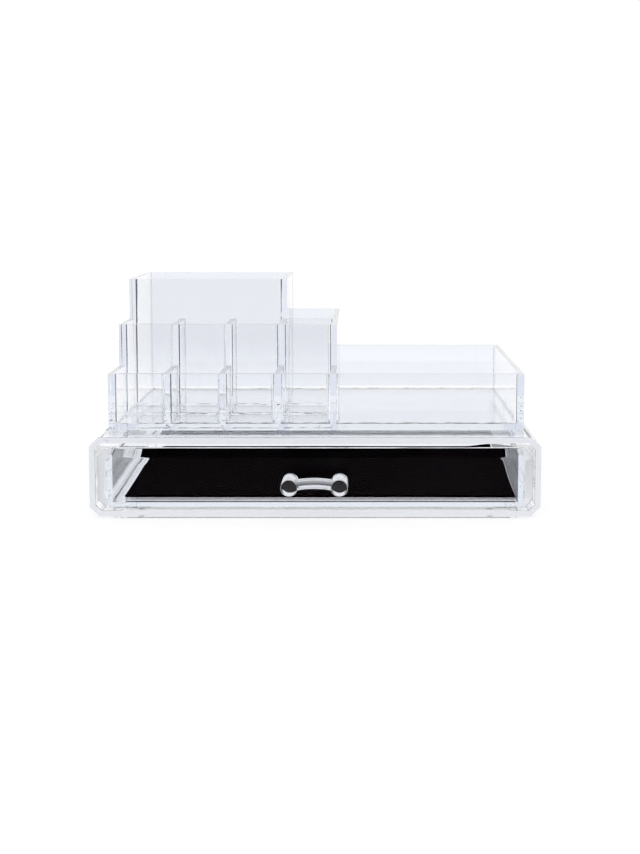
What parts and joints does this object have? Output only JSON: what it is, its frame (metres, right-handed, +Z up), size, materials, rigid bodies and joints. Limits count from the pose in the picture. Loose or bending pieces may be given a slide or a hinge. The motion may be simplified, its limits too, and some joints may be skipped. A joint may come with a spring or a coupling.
{
  "type": "brush holder with drawer",
  "caption": "Clear stepped cosmetics organiser with small cells, a tall brush bay and an open tray, standing on an octagonal case with a felt-lined pull-out drawer.",
  "frame": {"origin": "under the middle of the overall box, at the level of the foot ring that it stands on", "axes": "+X to the right seen from the drawer's side, +Y from the handle to the back, +Z up"},
  "size_m": [0.24, 0.156, 0.1222],
  "materials": {
    "case_clear": "polished clear",
    "drawer_clear": "polished clear",
    "organizer_clear": "polished clear",
    "handle_clear": "polished clear",
    "liner_felt": "short matt black felt"
  },
  "bodies": {
    "case": {"case_shell": "case_clear", "case_back": "case_clear", "case_foot_ring": "case_clear", "case_foot_pads": "case_clear"},
    "drawer": {"drawer_front": "drawer_clear", "drawer_floor": "drawer_clear", "drawer_side_left": "drawer_clear", "drawer_side_right": "drawer_clear", "drawer_back": "drawer_clear", "drawer_liner": "liner_felt", "handle_post_left": "handle_clear", "handle_post_right": "handle_clear", "handle_bow": "handle_clear"},
    "organizer": {"organizer_floor": "organizer_clear", "organizer_front_wall": "organizer_clear", "organizer_back_wall": "organizer_clear", "organizer_side_left": "organizer_clear", "organizer_side_right": "organizer_clear", "second_row_wall": "organizer_clear", "brush_bay_wall": "organizer_clear", "column_divider_left": "organizer_clear", "column_divider_middle": "organizer_clear", "column_divider_right": "organizer_clear", "tray_partition": "organizer_clear"}
  },
  "joints": [
    {"name": "drawer_slide", "type": "slide", "parent": "case", "child": "drawer", "axis": [0, -1, 0], "range_m": [0, 0.11]},
    {"name": "organizer_lift", "type": "slide", "parent": "case", "child": "organizer", "axis": [0, 0, 1], "range_m": [0, 0.05]}
  ]
}
